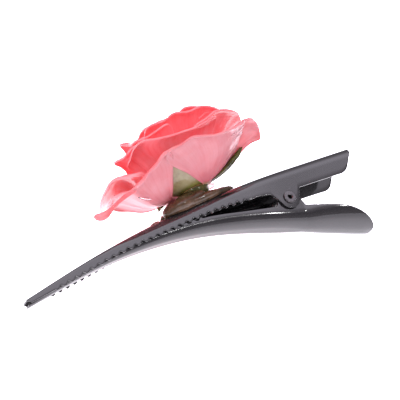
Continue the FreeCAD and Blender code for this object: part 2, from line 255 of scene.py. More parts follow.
def stretched(tree, where, scale, turn=(0, 0, 0)):
    """Coordinates scaled unevenly, for hairlines and fibres."""
    inputs = {"Vector": where, "Scale": scale, "Rotation": turn}
    return add(tree, "ShaderNodeMapping", inputs).outputs["Vector"]


def enamel():
    """Sprayed black enamel with faint orange peel, dust and hairline scratches."""
    material, tree, shader = nodes_of("black_enamel")
    where = object_place(tree)
    dust = noise(tree, where, 2600, 3)
    cloud = noise(tree, where, 90, 5)
    peel = noise(tree, where, 700, 2)
    hairs = noise(tree, stretched(tree, where, (60, 1500, 1500), (0.6, 0.1, 0.3)), 1.0, 2)
    scratch = ramp(tree, hairs, [(0.66, grey(0)), (0.72, grey(1))])
    colour = ramp(tree, cloud, [(0.3, (0.012, 0.011, 0.013)), (0.7, (0.020, 0.018, 0.020))])
    speck = ramp(tree, dust, [(0.70, grey(0)), (0.78, grey(1))])
    colour = blend_colour(tree, times(tree, speck, 0.05), colour, (0.3, 0.29, 0.3))
    rough = ramp(tree, cloud, [(0.3, grey(0.07)), (0.75, grey(0.14))])
    rough = blend_colour(tree, times(tree, scratch, 0.3), rough, grey(0.38))
    plug(tree, shader, Base_Color=colour, Roughness=rough, Normal=bump(tree, peel, 0.000012), IOR=1.8)
    return material


def plated():
    """Dark plated rivet, lighter on the sharp curves of its rolled ring."""
    material, tree, shader = nodes_of("rivet_metal")
    where = object_place(tree)
    wear = noise(tree, where, 1200, 5)
    # The sharp curves of the rolled ring, found by Pointiness, are lightened towards a pale grey.
    edge = add(tree, "ShaderNodeNewGeometry").outputs["Pointiness"]
    ring_lightening = ramp(tree, edge, [(0.5, grey(0)), (0.56, grey(1))])
    colour = ramp(tree, wear, [(0.3, (0.04, 0.036, 0.04)), (0.75, (0.10, 0.095, 0.10))])
    colour = blend_colour(tree, times(tree, ring_lightening, 0.5), colour, (0.35, 0.33, 0.34))
    rough = ramp(tree, wear, [(0.3, grey(0.16)), (0.7, grey(0.32))])
    plug(tree, shader, Base_Color=colour, Metallic=0.9, Roughness=rough)
    plug(tree, shader, Normal=bump(tree, wear, 0.00001), Coat_Weight=0.15, Coat_Roughness=0.08)
    return material


def wire():
    """Drawn spring steel with fine streaks."""
    material, tree, shader = nodes_of("spring_steel")
    lines = noise(tree, stretched(tree, object_place(tree), (300, 2500, 2500)), 1.0, 3)
    colour = ramp(tree, lines, [(0.3, (0.20, 0.19, 0.19)), (0.7, (0.42, 0.41, 0.42))])
    rough = ramp(tree, lines, [(0.3, grey(0.22)), (0.7, grey(0.4))])
    plug(tree, shader, Base_Color=colour, Metallic=1.0, Roughness=rough)
    plug(tree, shader, Normal=bump(tree, lines, 0.00001))
    return material


def petal_material(name, back, front, veins_and_base_shade, rim, painted_glow):
    """A rose petal sealed in clear resin: veins along it, paler outside, darkened towards the base by painted
    shade and lightened along its rim by a painted highlight.

    The glow is painted light: an emission that makes the petal glow though it is no lamp, standing in for the
    light that comes through it and lifting its shade; it is stronger on its inner side."""
    material, tree, shader = nodes_of(name)
    spot = add(tree, "ShaderNodeUVMap", uv_map="petal").outputs["UV"]
    axes = add(tree, "ShaderNodeSeparateXYZ", {"Vector": spot})
    u, t = axes.outputs["X"], axes.outputs["Y"]
    tone = add(tree, "ShaderNodeAttribute", attribute_name="tone").outputs["Fac"]
    inside = add(tree, "ShaderNodeAttribute", attribute_name="inside").outputs["Fac"]
    where = object_place(tree)
    scaled = {"X": times(tree, u, 15.0), "Y": times(tree, t, 1.6), "Z": times(tree, tone, 9.0)}
    along = add(tree, "ShaderNodeCombineXYZ", scaled).outputs["Vector"]
    veins = noise(tree, along, 1.0, 5, 0.6, 0.4)
    cloud = noise(tree, where, 130, 4)
    body = blend_colour(tree, inside, back, front)
    body = blend_colour(tree, ramp(tree, veins, [(0.45, grey(0)), (0.72, grey(0.5))]), body, veins_and_base_shade)
    body = blend_colour(tree, ramp(tree, cloud, [(0.42, grey(0)), (0.72, grey(0.5))]), body, rim)
    # Painted shade: the lower part of the petal is darkened towards the deep colour, as where the petals
    # crowd together at the base.
    low = ramp(tree, t, [(0.0, grey(1)), (0.28, grey(0.42)), (0.62, grey(0))])
    body = blend_colour(tree, low, body, veins_and_base_shade)
    body = blend_colour(tree, ramp(tree, t, [(0.01, grey(0.8)), (0.1, grey(0))]), body, (0.42, 0.40, 0.14))
    # Painted highlight: the petal's ends and sides are lightened towards the rim colour, as where its rolled
    # rim catches the light.
    end_rim_highlight = ramp(tree, t, [(0.982, grey(0)), (0.996, grey(1))])
    side_rim_highlight = ramp(tree, math_node(tree, "ABSOLUTE", u), [(0.985, grey(0)), (1.0, grey(0.8))])
    edge = math_node(tree, "MAXIMUM", end_rim_highlight, side_rim_highlight)
    body = blend_colour(tree, times(tree, edge, 0.3), body, rim)
    ribs = bump(tree, veins, 0.00012, 0.6)
    wet = bump(tree, noise(tree, where, 210, 2), 0.0006, 0.6)
    # Painted light: emission in the petal's own colour makes it glow, more on its inner side, lifting its
    # shade.
    painted_glow_strength = math_node(tree, "MULTIPLY_ADD", inside, 0.22, painted_glow)
    coat = math_node(tree, "MULTIPLY_ADD", edge, -0.25, 0.42)
    plug(tree, shader, Base_Color=body, Roughness=0.45, Normal=ribs, IOR=1.45, Specular_IOR_Level=0.2)
    plug(tree, shader, Subsurface_Weight=0.35, Subsurface_Radius=(0.0022, 0.0009, 0.0007))
    plug(tree, shader, Subsurface_Scale=1.0)
    plug(tree, shader, Emission_Color=body, Emission_Strength=painted_glow_strength)
    plug(tree, shader, Coat_Weight=coat, Coat_Roughness=0.03, Coat_Normal=wet)
    return material


def calyx():
    """Dried green sepal under resin, dark olive with tan patches and paler fibres."""
    material, tree, shader = nodes_of("calyx_green")
    where = object_place(tree)
    cloud = noise(tree, where, 160, 5, 0.6)
    fibre = noise(tree, stretched(tree, where, (900, 250, 250)), 1.0, 4)
    tones = [(0.30, (0.025, 0.026, 0.004)), (0.5, (0.07, 0.065, 0.012)), (0.75, (0.17, 0.14, 0.04))]
    strands = ramp(tree, fibre, [(0.5, grey(0)), (0.8, grey(0.5))])
    colour = blend_colour(tree, strands, ramp(tree, cloud, tones), (0.10, 0.11, 0.02))
    wet = bump(tree, noise(tree, where, 220, 2), 0.0005, 0.6)
    plug(tree, shader, Base_Color=colour, Roughness=0.5, Normal=bump(tree, fibre, 0.0001, 0.6))
    plug(tree, shader, Subsurface_Weight=0.2, Subsurface_Radius=(0.001, 0.0012, 0.0004), Subsurface_Scale=1.0)
    plug(tree, shader, Coat_Weight=0.35, Coat_Roughness=0.05, Coat_Normal=wet, Specular_IOR_Level=0.15)
    return material


def wedge():
    """The pale tan foot of the front sepal, seen through thick resin."""
    material, tree, shader = nodes_of("calyx_tan")
    spot = add(tree, "ShaderNodeUVMap", uv_map="petal").outputs["UV"]
    t = add(tree, "ShaderNodeSeparateXYZ", {"Vector": spot}).outputs["Y"]
    where = object_place(tree)
    cloud = noise(tree, where, 150, 5, 0.6)
    tones = [(0.3, (0.22, 0.16, 0.06)), (0.5, (0.36, 0.30, 0.14)), (0.75, (0.48, 0.42, 0.24))]
    ends = [(0.0, grey(1)), (0.10, grey(0.8)), (0.2, grey(0)), (0.6, grey(0)), (1.0, grey(0.5))]
    colour = blend_colour(tree, ramp(tree, t, ends), ramp(tree, cloud, tones), (0.22, 0.21, 0.025))
    wet = bump(tree, noise(tree, where, 220, 2), 0.0005, 0.6)
    plug(tree, shader, Base_Color=colour, Roughness=0.5, Normal=bump(tree, cloud, 0.0003, 0.5))
    plug(tree, shader, Coat_Weight=1.0, Coat_Roughness=0.03, Coat_Normal=wet)
    return material


def resin(name, light, dark, clear):
    """Set resin, glossy and see-through by the share clear."""
    material, tree, shader = nodes_of(name)
    where = object_place(tree)
    cloud = noise(tree, where, 110, 4, 0.6)
    plug(tree, shader, Base_Color=ramp(tree, cloud, [(0.35, dark), (0.68, light)]), Roughness=0.06, IOR=1.5)
    plug(tree, shader, Transmission_Weight=clear, Normal=bump(tree, noise(tree, where, 160, 2), 0.0004, 0.5))
    plug(tree, shader, Coat_Weight=0.3, Coat_Roughness=0.02)
    return material


ENAMEL = enamel()
PLATED = plated()
WIRE_STEEL = wire()
PALE = petal_material(
    "petal_pale", back=(0.68, 0.25, 0.27), front=(0.68, 0.11, 0.12), veins_and_base_shade=(0.62, 0.14, 0.17),
    rim=(0.72, 0.37, 0.40), painted_glow=0.05)
CORAL = petal_material(
    "petal_coral", back=(0.82, 0.17, 0.195), front=(0.80, 0.15, 0.17), veins_and_base_shade=(0.74, 0.075, 0.10),
    rim=(0.80, 0.30, 0.33), painted_glow=0.2)
GREEN = calyx()
TAN = wedge()
AMBER = resin("clear_resin", (0.22, 0.12, 0.07), (0.06, 0.035, 0.014), 0.15)
CLEAR = resin("clear_bead", (0.95, 0.93, 0.95), (0.85, 0.83, 0.88), 0.95)

# ---------------------------------------------------------------- the two leaves
SHEET, CLEARANCE, LENGTH = 0.7, 0.25, 132.0
UPPER_CROWN = curve([(0, 1.0), (30, 11.2), (60, 19.3), (95, 25.6), (133, 30.2)])
UPPER_HALF = curve([(0, 2.3), (28, 3.5), (52, 4.8), (85, 6.6), (94, 7.0), (108, 7.0), (133, 7.5)])
UPPER_BEND = curve([(0, 1.0), (28, 1.4), (50, 3.0), (80, 3.7), (133, 4.2)])
UPPER_LIP = curve([(0, -0.9), (10, 1.8), (20, 4.6), (35, 9.0), (57, 13.5), (72, 16.3), (88, 17.6)])
LOWER_CROWN = curve([(0, -1.5), (15, 3.0), (30, 7.0), (48, 9.9), (65, 10.7), (85, 8.9), (105, 5.3),
                     (118, 2.5), (132, -0.6)])
FLARE_FROM = 106         # the lower leaf widens into its handle from here
LOWER_FLARE = curve([(FLARE_FROM, 6.05), (113, 7.6), (120, 8.5), (133, 8.7)])
LOWER_BEND = curve([(0, 0.9), (28, 1.5), (52, 2.6), (85, 4.4), (104, 5.4), (113, 7.0), (120, 7.9),
                    (133, 8.1)])
LOWER_LIP = curve([(0, -0.3), (10, 3.0), (20, 5.95), (30, 8.5), (57, 13.9), (71, 15.0), (82, 14.2),
                   (94, 13.3)])
TOOTH_PITCH, TOOTH_HEIGHT, TEETH_FROM = 2.9, 0.9, 10.0
UPPER_TEETH, LOWER_TEETH = 26, 20
EAR_RADIUS = 3.9
BARREL_RADIUS, RUNNING_GAP = 1.5, 0.06
EDGE = 0.16              # rounding of the sheet's cut edges
ROW_STEP = 0.7           # widest gap between two rows of a leaf's mesh
SHARP = 42               # a crease past this many degrees stays crisp


def lower_half(x):
    return np.where(x <= FLARE_FROM, UPPER_HALF(x) - SHEET - CLEARANCE, LOWER_FLARE(x))


def ear_at(degrees):
    a = math.radians(degrees)
    return PIVOT_X + EAR_RADIUS * math.cos(a), PIVOT_Z + EAR_RADIUS * math.sin(a)


def outline(pieces, teeth, lip):
    """z of a flange's edge at x, from (end of piece, function) pairs, with round teeth on the lip."""
    half = TOOTH_PITCH / 2
    swing = TOOTH_HEIGHT / 2
    radius = (half**2 / 4 + swing**2) / (2 * swing)

    def edge(x):
        into = (x - TEETH_FROM) / half
        if 0 <= into < 2 * teeth:
            n = int(into)
            off = (into - n - 0.5) * half
            depth = math.sqrt(max(radius**2 - off**2, 0)) - (radius - swing)
            return float(lip(x)) + depth * (1 if n % 2 else -1)
        for end, z in pieces:
            if x <= end:
                return float(z(x))
        return float(pieces[-1][1](x))

    return edge


def stations(breaks, teeth):
    """x of the rows: fine across every tooth and every corner of the outline, wider between them."""
    xs = set(breaks)
    for n in range(2 * teeth):
        for f in (0, 0.05, 0.17, 0.33, 0.5, 0.67, 0.83, 0.95):
            xs.add(TEETH_FROM + (n + f) * TOOTH_PITCH / 2)
    xs = sorted(xs)
    full = []
    for a, b in zip(xs, xs[1:]):
        parts = max(1, math.ceil((b - a) / ROW_STEP))
        full += [a + (b - a) * k / parts for k in range(parts)]
    return full + [xs[-1]]


def half_section(half, crown, bend, lip, up, inset):
    """One side of a channel cut across: from the middle out over its bend to the lip and back inside."""
    rise = max(up * (lip - crown), 0.02)
    turn = math.acos(max(1 - rise / bend, 0.0)) if rise < bend else math.pi / 2
    trim = EDGE if rise >= bend + EDGE else EDGE / bend
    end = turn if rise >= bend + EDGE else max(turn - trim, 0.02)
    wall = max(rise - bend - EDGE, 0.0)
    flat = half - bend
    path = [((flat * f, crown), (0.0, -up)) for f in (0, 0.4, 0.75, 0.95, 1)]
    for n in range(1, 13):
        a = end * n / 12
        spot = flat + bend * math.sin(a), crown + up * bend * (1 - math.cos(a))
        path.append((spot, (math.sin(a), -up * math.cos(a))))
    (y, z), (ny, nz) = path[-1]
    path += [((y, z + up * wall * f), (ny, nz)) for f in (0.04, 0.3, 0.65, 1)]
    y, z = path[-1][0]
    ty, tz = math.cos(end), up * math.sin(end)
    outer = [(p[0] - n[0] * inset, p[1] - n[1] * inset) for p, n in path]
    depth = SHEET - 2 * inset
    rim = []
    for a in (30, 60, 90):
        reach, sink = EDGE * math.sin(math.radians(a)), EDGE * (1 - math.cos(math.radians(a)))
        rim.append((max(reach - inset, 0), inset + min(sink, depth / 2)))
    for a in (90, 60, 30):
        reach, sink = EDGE * math.sin(math.radians(a)), EDGE * (1 - math.cos(math.radians(a)))
        rim.append((max(reach - inset, 0), SHEET - inset - min(sink, depth / 2)))
    edge = [(y + ty * r - ny * d, z + tz * r - nz * d) for r, d in rim]
    inner = [(p[0] - n[0] * (SHEET - inset), p[1] - n[1] * (SHEET - inset)) for p, n in reversed(path)]
    return outer + edge + inner


def leaf(name, xs, half, crown, bend, edge, up, body, replaced):
    """A pressed leaf as one closed mesh, its ends rounded like its edges."""
    rows = []
    for k, x in enumerate(xs):
        from_end = min(k, len(xs) - 1 - k)
        angle = math.radians((0, 35, 65, 90)[min(from_end, 3)])
        inset = EDGE * (1 - math.sin(angle))
        side = half_section(float(half(x)), float(crown(x)), float(bend(x)), edge(x), up, inset)
        ring = side + [(-y, z) for y, z in side[-2:0:-1]]
        rows.append([(x, y, z) for y, z in ring])
    wide = len(rows[0])
    verts = to_row(np.array(rows).reshape(-1, 3))
    faces = grid_faces(len(rows), wide, True)
    chain = len(side)
    for row in (0, len(rows) - 1):
        base = row * wide
        right = [base + i for i in range(chain)]
        left = [base] + [base + wide - i for i in range(1, chain - 1)] + [base + chain - 1]
        for ids in (right, left):
            for i in range(chain // 2 - 1):
                faces.append((ids[i], ids[i + 1], ids[chain - 2 - i], ids[chain - 1 - i]))
            mid = chain // 2 - 1
            faces.append((ids[mid], ids[mid + 1], ids[chain - 1 - mid]))
    faces = [f for f in faces if len(set(f)) == len(f)]
    return finish_mesh(name, verts, faces, ENAMEL, body, replaced, sharp=SHARP)


def end_rows(start, end):
    """Rows close to the two ends, for their rounding."""
    close = [EDGE * f for f in (0, 0.18, 0.58, 1)]
    return [start + c for c in close], [end - c for c in reversed(close)]


def pierce(piece, radius):
    """Cuts the pivot's hole through both ears."""
    cutter = bmesh.new()
    size = radius * MM
    bmesh.ops.create_cone(cutter, cap_ends=True, segments=48, radius1=size, radius2=size, depth=0.03)
    mesh = bpy.data.meshes.new("cutter")
    cutter.to_mesh(mesh)
    cutter.free()
    tool = bpy.data.objects.new("cutter", mesh)
    bpy.context.scene.collection.objects.link(tool)
    aim = way((0, 1, 0)).to_track_quat("Z", "Y").to_matrix().to_4x4()
    tool.matrix_world = Matrix.Translation(Vector(JOINT["pos_m"])) @ aim
    cut = piece.modifiers.new("cut", "BOOLEAN")
    cut.operation, cut.solver, cut.object = "DIFFERENCE", "EXACT", tool
    bpy.context.view_layer.update()
    graph = bpy.context.evaluated_depsgraph_get()
    made = bpy.data.meshes.new_from_object(piece.evaluated_get(graph))
    piece.modifiers.clear()
    made.name = piece.name
    piece.data = made
    bpy.data.objects.remove(tool)
    made.shade_smooth()
    made.set_sharp_from_angle(angle=math.radians(SHARP))


def upper_outline():
    ear_left, ear_right = ear_at(200), ear_at(338)
    corner = [(123.6, 20.2), (126.4, 20.9), (128.2, 22.8)]
    pieces = [
        (1.0, line((-0.4, 0.6), (1.0, float(UPPER_LIP(1.0))))),
        (92.0, UPPER_LIP),
        (95.0, line((92.0, float(UPPER_LIP(92.0))), (95.0, 17.5))),
        (ear_left[0], line((95.0, 17.5), ear_left)),
        (ear_right[0], round_edge(ear_left, ear_at(270), ear_right)),
        (106.3, line(ear_right, (106.3, 18.3))),
        (corner[0][0], line((106.3, 18.3), corner[0])),
        (corner[2][0], round_edge(*corner)),
        (131.3, line(corner[2], (131.3, 27.6))),
        (LENGTH, line((131.3, 27.6), (LENGTH, 31.0))),
    ]
    return outline(pieces, UPPER_TEETH, UPPER_LIP), [p[0] for p in pieces[:-1]]


def lower_outline():
    ear_left, ear_right = ear_at(155), ear_at(22)
    scoop = [(119.0, 8.6), (126.9, 4.2), (131.6, -0.9)]
    pieces = [
        (0.6, line((0.0, -0.9), (0.6, float(LOWER_LIP(0.6))))),
        (93.0, LOWER_LIP),
        (96.0, line((93.0, float(LOWER_LIP(93.0))), (96.0, 13.2))),
        (ear_left[0], line((96.0, 13.2), ear_left)),
        (ear_right[0], round_edge(ear_left, ear_at(90), ear_right)),
        (106.6, line(ear_right, (106.6, 11.9))),
        (scoop[0][0], line((106.6, 11.9), scoop[0])),
        (scoop[2][0], round_edge(*scoop)),
    ]
    return outline(pieces, LOWER_TEETH, LOWER_LIP), [p[0] for p in pieces[:-1]]


EAR_ROWS = [PIVOT_X + EAR_RADIUS * math.cos(math.radians(a)) for a in range(20, 160, 8)]
SCOOP_ROWS = [119 + 0.5 * n for n in range(24)]


def leaf_rows(breaks, start, end, teeth):
    """x of all the rows of a leaf that runs from start to end."""
    first, last = end_rows(start, end)
    xs = stations(breaks + EAR_ROWS + SCOOP_ROWS + first + last, teeth)
    return [x for x in xs if first[0] <= x <= last[-1]]


edge, breaks = upper_outline()
rows = leaf_rows(breaks, -0.38, 131.72, UPPER_TEETH)
upper_leaf = leaf("enamel_upper_leaf", rows, UPPER_HALF, UPPER_CROWN, UPPER_BEND, edge, -1,
                  "upper_jaw", ["upper_leaf"])
pierce(upper_leaf, BARREL_RADIUS)

edge, breaks = lower_outline()
rows = leaf_rows(breaks, 0.02, 131.1, LOWER_TEETH)
lower_leaf = leaf("enamel_lower_leaf", rows, lower_half, LOWER_CROWN, LOWER_BEND, edge, 1,
                  "lower_jaw", ["lower_leaf"])
pierce(lower_leaf, BARREL_RADIUS + RUNNING_GAP)


# ---------------------------------------------------------------- tubes, rivet and spring
def tube(name, line_points, radii, material, body, replaced=(), sides=14):
    """A round tube along clip points, with a radius at each, closed by domes."""
    pts = np.asarray(line_points, float)
    radii = np.broadcast_to(np.asarray(radii, float), (len(pts),)).copy()
    ahead = np.gradient(pts, axis=0)
    ahead /= np.linalg.norm(ahead, axis=1)[:, None]
    across = np.cross(ahead[0], (0.3, 1, 0.2))
    frames = []
    for a in ahead:
        across = across - a * (across @ a)
        across /= np.linalg.norm(across)
        frames.append((across, np.cross(a, across)))
    rings, where = [], []
    dome = (90, 60, 30)
    for a in dome:
        s, c = math.sin(math.radians(a)), math.cos(math.radians(a))
        rings.append((pts[0] - ahead[0] * radii[0] * s, max(radii[0] * c, 1e-4), frames[0]))
    for p, r, f in zip(pts, radii, frames):
        rings.append((p, r, f))
    for a in reversed(dome):
        s, c = math.sin(math.radians(a)), math.cos(math.radians(a))
        rings.append((pts[-1] + ahead[-1] * radii[-1] * s, max(radii[-1] * c, 1e-4), frames[-1]))
    for p, r, (f, g) in rings:
        for k in range(sides):
            b = 2 * math.pi * k / sides
            where.append(p + r * (math.cos(b) * f + math.sin(b) * g))
    faces = grid_faces(len(rings), sides, True)
    faces.append(tuple(reversed(range(sides))))
    faces.append(tuple((len(rings) - 1) * sides + k for k in range(sides)))
    return finish_mesh(name, to_row(where), faces, material, body, replaced)


WIRE, COIL_RADIUS, COIL_PITCH, COIL_TURNS, LEG_END_X, LEG_Y = 1.0, 2.6, 1.08, 5, 115.5, 2.9


def spring_line():
    """The wire's middle: a leg under the upper handle, the coil round the barrel and the lower leg."""
    up_z = float(UPPER_CROWN(LEG_END_X)) - SHEET - WIRE / 2 - 0.15
    gutter = float(LOWER_BEND(LEG_END_X)) - SHEET
    hollow = float(LOWER_CROWN(LEG_END_X)) + SHEET + gutter - math.sqrt(gutter**2 - LEG_Y**2)
    down_z = hollow + WIRE / 2 + 0.35

    def leaves(target_z, side):
        dx, dz = LEG_END_X - PIVOT_X, target_z - PIVOT_Z
        return math.atan2(dz, dx) + side * math.acos(COIL_RADIUS / math.hypot(dx, dz))

    start = leaves(up_z, 1)
    end = leaves(down_z, -1) + 2 * math.pi * (COIL_TURNS + 1)
    rise = COIL_PITCH / (2 * math.pi)
    start_y = -rise * (end - start) / 2
    turns = np.linspace(start, end, 28 * COIL_TURNS)
    coil = np.stack([PIVOT_X + COIL_RADIUS * np.cos(turns), start_y + rise * (turns - start),
                     PIVOT_Z + COIL_RADIUS * np.sin(turns)], axis=1)
    up_leg = np.array([LEG_END_X, start_y, up_z])
    down_leg = np.array([LEG_END_X, -start_y, down_z])
    share = np.linspace(0, 1, 12)[:-1, None]
    lead = up_leg + (coil[0] - up_leg) * share
    trail = coil[-1] + (down_leg - coil[-1]) * (1 - share[::-1])
    return np.concatenate([lead, coil, trail])


spring = tube("spring_coil", spring_line(), WIRE / 2, WIRE_STEEL, None, ["torsion_spring"])
reach = 2.6
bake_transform(spring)

for node, material in (("pivot_rivet", PLATED), ("rose_hip", GREEN)):
    materials = frame["nodes"][node].data.materials
    materials.clear()
    materials.append(material)

# ---------------------------------------------------------------- the rose's frame
ROSE_X, TILT_HEEL, TILT_BACK, HIP_TOP = 71.0, 2.0, 3.0, 5.0
SLOPE = math.degrees(math.atan2(float(UPPER_CROWN(ROSE_X + 1) - UPPER_CROWN(ROSE_X - 1)), 2))
HEEL_TURN = Matrix.Rotation(math.radians(TILT_HEEL - SLOPE), 3, "Y")
ROSE_TURN = np.array(HEEL_TURN @ Matrix.Rotation(math.radians(TILT_BACK), 3, "X"))
ROSE_FOOT = np.array([ROSE_X, 0, float(UPPER_CROWN(ROSE_X))])
LEAN, TIP_DROOP, REST_DROOP, REST_STRETCH = 0.17, 5.0, 5.2, 2.0
REST_SIDE = math.radians(62.0)
# each ring's cup cut from its foot to its rim: (radius, height)
CUPS = {
    "sepal": [(6.3, 3.6), (11.5, 4.4), (17.0, 6.4), (22.5, 10.0)],
    "outer": [(5.2, 5.05), (11.5, 7.6), (19.5, 11.2), (27.0, 14.2), (31.5, 13.4)],
    "second": [(4.3, 5.05), (9.4, 10.6), (16.0, 16.0), (21.6, 20.4), (25.6, 21.0)],
    "third": [(3.4, 5.05), (7.6, 13.4), (12.4, 20.4), (16.6, 25.6), (19.8, 26.6)],
    "fourth": [(2.5, 5.05), (5.6, 15.0), (8.6, 22.6), (11.4, 28.4), (13.8, 29.8)],
    "heart": [(1.6, 5.05), (3.4, 16.0), (4.8, 24.0), (5.8, 29.6), (6.6, 31.2)],
}
CUP_CURVES = {}
for cup, spots in CUPS.items():
    top = len(spots) - 1
    CUP_CURVES[cup] = [curve([(n / top, p[k]) for n, p in enumerate(spots)]) for k in (0, 1)]
# petals in the ring, direction of the first, half width, and how far each winds outwards in 72 degrees
RINGS = {
    "outer": (5, 271.0, 45.0, 1.5),
    "second": (5, 236.0, 50.0, 1.3),
    "third": (5, 262.0, 54.0, 1.2),
    "fourth": (4, 228.0, 66.0, 1.1),
    "heart": (3, 200.0, 88.0, 1.0),
}


def settle(p):
    """The flower's own lean and spread, the same smooth bend for every petal."""
    x, y, z = p[..., 0], p[..., 1], p[..., 2]
    low = 1 - step((z - 6) / 13)
    tip = step((-x - 3) / 15)
    far = step((x * math.cos(REST_SIDE) + y * math.sin(REST_SIDE) - 12) / 13)
    lift = -TIP_DROOP * tip * low - REST_DROOP * far * (1 - step((z - 8) / 14))
    lean = LEAN * np.maximum(z - HIP_TOP, 0)
    return np.stack([x + lean - 2.0 * tip * low + REST_STRETCH * far * math.cos(REST_SIDE),
                     y + REST_STRETCH * far * math.sin(REST_SIDE), z + lift], axis=-1)


def rose_to_row(p):
    return to_row(settle(p) @ ROSE_TURN.T + ROSE_FOOT)


def blade(name, cup, turn, half, spiral, thick, rim, waist, material, slot, replaced, pinch=0.0,
          curl=0.0, wave=0.0, waves=2.0, phase=0.0, lift=0.0, across=45, upward=33, tone=0.0, flush=0.0,
          left=None, right=None, edge=None):
    """A petal on its cup: a curled, waved and ribbed sheet with a thick rounded rim of resin.

    left and right are (level, direction) stations of its sides.
    edge is (direction, level, lift) along its rim."""
    u = np.sin(np.linspace(-1, 1, across) * math.pi / 2)[None, :] * np.ones((upward, 1))
    t = np.sin(np.linspace(0, 1, upward) * math.pi / 2)[:, None] * np.ones((1, across))

    def sides(level):
        spread = waist + (1 - waist) * step((level - 0.1) / 0.4) - pinch * step((level - 0.6) / 0.4)
        low = smooth(left, level) if left else turn - half * spread
        high = smooth(right, level) if right else turn + half * spread
        return low + (high - low) * (u + 1) / 2

    reach = rim(u)
    rise = np.zeros_like(u)
    if edge:
        corner = 1 - 0.3 * np.clip((np.abs(u) - 0.8) / 0.2, 0, 1) ** 3
        for _ in range(3):
            direction = sides(reach)
            reach = smooth([(a, l) for a, l, _ in edge], direction) * corner
        rise = smooth([(a, n) for a, _, n in edge], sides(reach))
    level = t * reach
    radius, height = (f(level) for f in CUP_CURVES[cup])
    nudge = 0.01
    r0, h0 = (f(np.maximum(level - nudge, 0)) for f in CUP_CURVES[cup])
    r1, h1 = (f(np.minimum(level + nudge, 1.2)) for f in CUP_CURVES[cup])
    size = np.hypot(r1 - r0, h1 - h0)
    nr, nh = (h1 - h0) / size, -(r1 - r0) / size
    direction = sides(level)
    length = 32.0 if cup == "outer" else 26.0
    from_rim = (1 - t) * length * reach
    from_side = (1 - np.abs(u)) * radius * math.radians(half)
    distance = np.minimum(from_rim, from_side)
    base = t * length
    full = thick / 2 * (1 + BEAD * np.exp(-((distance / 1.1) ** 2)))
    near = np.clip(np.minimum(distance, base) / full, 0, 1)
    thickness = full * np.sqrt(1 - (1 - near) ** 2)
    settled = step(t / 0.95)
    away = spiral * (direction - turn) / 72.0 * step(level / 0.35) + lift
    if edge:
        away = away * (1 - settled) + rise * settled
    away = away + curl * step((t - 0.72) / 0.28) ** 2
    away = away + 0.5 * curl * step((np.abs(u) - 0.8) / 0.2) * step(t / 0.5)
    away = away + wave * t**2 * np.sin(waves * math.pi * u + phase)
    away = away + 0.35 * wave * t**3 * np.sin(2.7 * waves * math.pi * u + 2.3 * phase)
    away = away + RIBS * np.sin(9 * math.pi * u + phase) * np.sin(math.pi * t)
    angle = np.radians(direction)
    sheets = []
    for side in (1, -1):
        off = away + side * thickness
        r = radius + nr * off
        sheets.append(np.stack([r * np.cos(angle), r * np.sin(angle), height + nh * off], axis=-1))
    verts = rose_to_row(np.concatenate([s.reshape(-1, 3) for s in sheets]))
    faces = grid_faces(upward, across)
    count = upward * across
    faces += [tuple(count + i for i in reversed(f)) for f in faces]
    spots = np.tile(np.stack([u.ravel(), t.ravel()], axis=1), (2, 1))
    values = {"tone": np.full(2 * count, tone), "inside": np.repeat([flush, 1.0], count)}
    return finish_mesh(name, verts, faces, material, "upper_jaw", replaced, spots, values)


def smooth(stations, x):
    """Value at x of the smooth line through the stations, held level beyond its ends."""
    return curve(stations)(np.clip(x, stations[0][0], stations[-1][0]))


PETAL, SEPAL = 0.65, 0.5     # thickness with the resin coat
WAIST = 0.55                 # width of a petal at its foot, as a share of its full width
RIBS = 0.05                  # height of the ribs along a petal
BEAD = 0.18                  # extra thickness of the rim, as a share
RAGGED = 0.012               # unevenness of the rim, as a share of the length
POINT_WIDTH = 0.25           # width of the rim's small point, as a share of half the petal


def petal_rim(depth, point, reach, seed):
    """Length of a petal across its width: rounded, with a small point and a slightly ragged edge."""
    def rim(u):
        shape = 1 - depth * np.abs(u) ** 2.4 - point * (1 - np.exp(-((u / POINT_WIDTH) ** 2)))
        return reach * shape + RAGGED * np.sin(11 * u + seed) + 0.6 * RAGGED * np.sin(23 * u + 1.7 * seed)
    return rim


